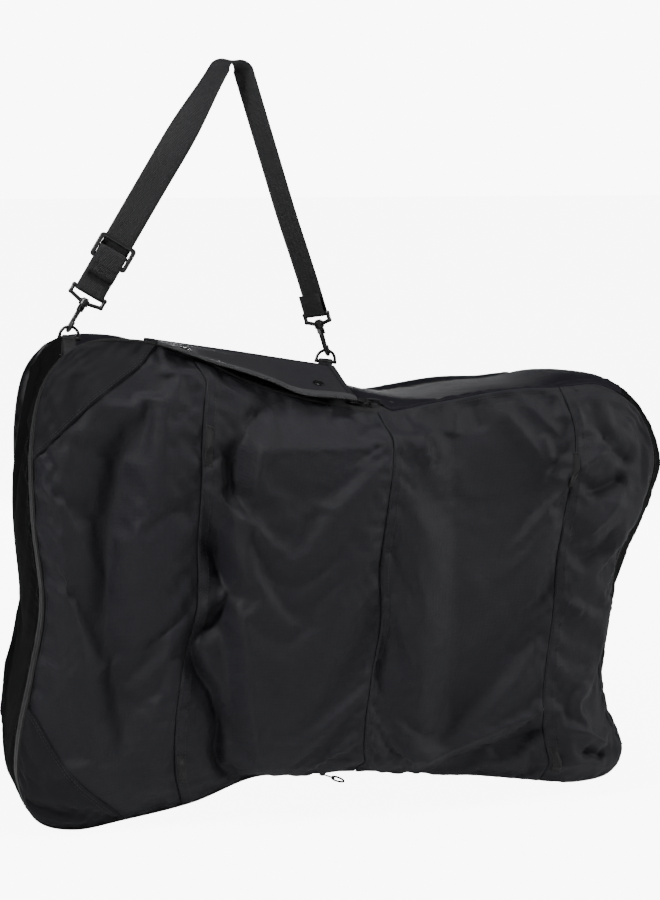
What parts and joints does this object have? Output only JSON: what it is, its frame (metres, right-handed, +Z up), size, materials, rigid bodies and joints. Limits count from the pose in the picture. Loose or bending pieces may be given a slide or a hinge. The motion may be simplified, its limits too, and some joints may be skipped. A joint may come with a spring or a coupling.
{
  "type": "padded travel bag with shoulder strap",
  "caption": "Soft deep travel bag with a zipped fabric door, storm flap, snap fasteners and a clip-on adjustable shoulder strap on D-rings.",
  "frame": {"origin": "on the plane the bag stands on, below the middle of the whole part's length and depth", "axes": "X along the length, -Y out of the front face with the zipped door, +Z up"},
  "size_m": [0.8506, 0.374, 0.9294],
  "materials": {
    "shell_fabric": "matte woven polyester with a fine grid",
    "side_fabric": "matte woven polyester",
    "patch_fabric": "smooth coated fabric",
    "lining_pad": "padded lining",
    "binding": "woven tape",
    "zip_tape": "woven tape",
    "zip_coil": "satin",
    "zip_metal": "black painted",
    "snap_metal": "black painted",
    "cord": "braided",
    "webbing": "ribbed webbing",
    "ring_metal": "black painted",
    "hardware_plastic": "fine textured"
  },
  "bodies": {
    "bag": {"front_right_panel": "shell_fabric", "front_end_panel": "shell_fabric", "back_panel": "shell_fabric", "left_gusset": "side_fabric", "top_gusset": "shell_fabric", "right_gusset": "side_fabric", "bottom_gusset": "side_fabric", "back_pad": "lining_pad", "base_pad": "lining_pad", "front_binding": "binding", "back_binding": "binding", "zip_tape_body": "zip_tape", "zip_coil_body": "zip_coil", "zip_end_stops": "zip_metal", "seam_loops_right": "binding", "snap_studs": "snap_metal", "ring_tab_left": "webbing", "ring_tab_right": "webbing"},
    "door": {"front_left_panel": "shell_fabric", "front_middle_panel": "shell_fabric", "corner_patch_top": "patch_fabric", "corner_patch_foot": "patch_fabric", "door_pad": "lining_pad", "zip_tape_door": "zip_tape", "zip_coil_door": "zip_coil", "seam_loops_left": "binding"},
    "flap": {"storm_flap": "shell_fabric", "flap_edge_tape": "zip_tape", "snap_caps": "snap_metal", "snap_sockets": "snap_metal"},
    "top_slider": {"slider_top": "zip_metal"},
    "top_puller": {"puller_top": "zip_metal", "cord_top": "cord"},
    "foot_slider": {"slider_foot": "zip_metal"},
    "foot_puller": {"puller_foot": "zip_metal", "cord_foot": "cord"},
    "ring_left": {"d_ring_left": "ring_metal"},
    "ring_right": {"d_ring_right": "ring_metal"},
    "strap": {"strap_webbing": "webbing", "swivel_ring_left": "hardware_plastic", "swivel_ring_right": "hardware_plastic"},
    "left_hook": {"hook_left": "hardware_plastic"},
    "left_gate": {"gate_left": "hardware_plastic"},
    "right_hook": {"hook_right": "hardware_plastic"},
    "right_gate": {"gate_right": "hardware_plastic"},
    "adjuster": {"tri_glide": "hardware_plastic", "strap_end_loop": "webbing"}
  },
  "joints": [
    {"name": "door_hinge", "type": "hinge", "parent": "bag", "child": "door", "pos_m": [0.00434, -0.1875, 0.04989], "axis": [0.045, 0, 0.999], "range_deg": [0, 100]},
    {"name": "flap_hinge", "type": "hinge", "parent": "bag", "child": "flap", "pos_m": [-0.24566, -0.035, 0.58589], "axis": [-0.9859, 0, 0.167], "range_deg": [0, 95]},
    {"name": "top_slider_travel", "type": "slide", "parent": "bag", "child": "top_slider", "axis": [-0.9776, 0, 0.2104], "range_m": [0, 0.018]},
    {"name": "top_puller_hinge", "type": "hinge", "parent": "top_slider", "child": "top_puller", "pos_m": [-0.0002, -0.1232, 0.5125], "axis": [-0.0876, -0.8609, -0.5011], "range_deg": [0, 85]},
    {"name": "foot_slider_travel", "type": "slide", "parent": "bag", "child": "foot_slider", "axis": [-0.9997, 0, 0.0229], "range_m": [0, 0.02]},
    {"name": "foot_puller_hinge", "type": "hinge", "parent": "foot_slider", "child": "foot_puller", "pos_m": [-0.0427, -0.12109, 0.04577], "axis": [-0.0014, 0.9981, -0.0609], "range_deg": [-12, 70]},
    {"name": "strap_swing", "type": "hinge", "parent": "bag", "child": "strap", "pos_m": [-0.33065, 0.017, 0.58389], "axis": [-0.9939, 0, 0.1103], "range_deg": [-60, 60]},
    {"name": "ring_left_turn", "type": "hinge", "parent": "bag", "child": "ring_left", "pos_m": [-0.33065, 0.017, 0.58389], "axis": [-0.9939, 0, 0.1103], "range_deg": [-60, 60]},
    {"name": "ring_right_turn", "type": "hinge", "parent": "bag", "child": "ring_right", "pos_m": [-0.00166, 0.017, 0.54739], "axis": [-0.9939, 0, 0.1103], "range_deg": [-60, 60]},
    {"name": "left_hook_swivel", "type": "hinge", "parent": "strap", "child": "left_hook", "pos_m": [-0.332, 0.017, 0.5934], "axis": [0.515, 0, 0.8572], "range_deg": [-25, 25]},
    {"name": "right_hook_swivel", "type": "hinge", "parent": "strap", "child": "right_hook", "pos_m": [0.0016, 0.017, 0.55639], "axis": [-0.2924, 0, 0.9563], "range_deg": [-25, 25]},
    {"name": "left_gate_hinge", "type": "hinge", "parent": "left_hook", "child": "left_gate", "pos_m": [-0.31604, 0.0107, 0.61997], "axis": [0.8572, 0, -0.515], "range_deg": [0, 18], "stiffness_Nm_per_rad": 0.002},
    {"name": "right_gate_hinge", "type": "hinge", "parent": "right_hook", "child": "right_gate", "pos_m": [-0.00746, 0.0107, 0.58603], "axis": [0.9563, 0, 0.2924], "range_deg": [0, 18], "stiffness_Nm_per_rad": 0.002},
    {"name": "adjuster_slide", "type": "slide", "parent": "strap", "child": "adjuster", "axis": [0.515, 0, 0.8572], "range_m": [0, 0.04]}
  ],
  "couplings": [
    {"joint": "ring_left_turn", "follows": "strap_swing", "ratio": 1},
    {"joint": "ring_right_turn", "follows": "strap_swing", "ratio": 1}
  ]
}
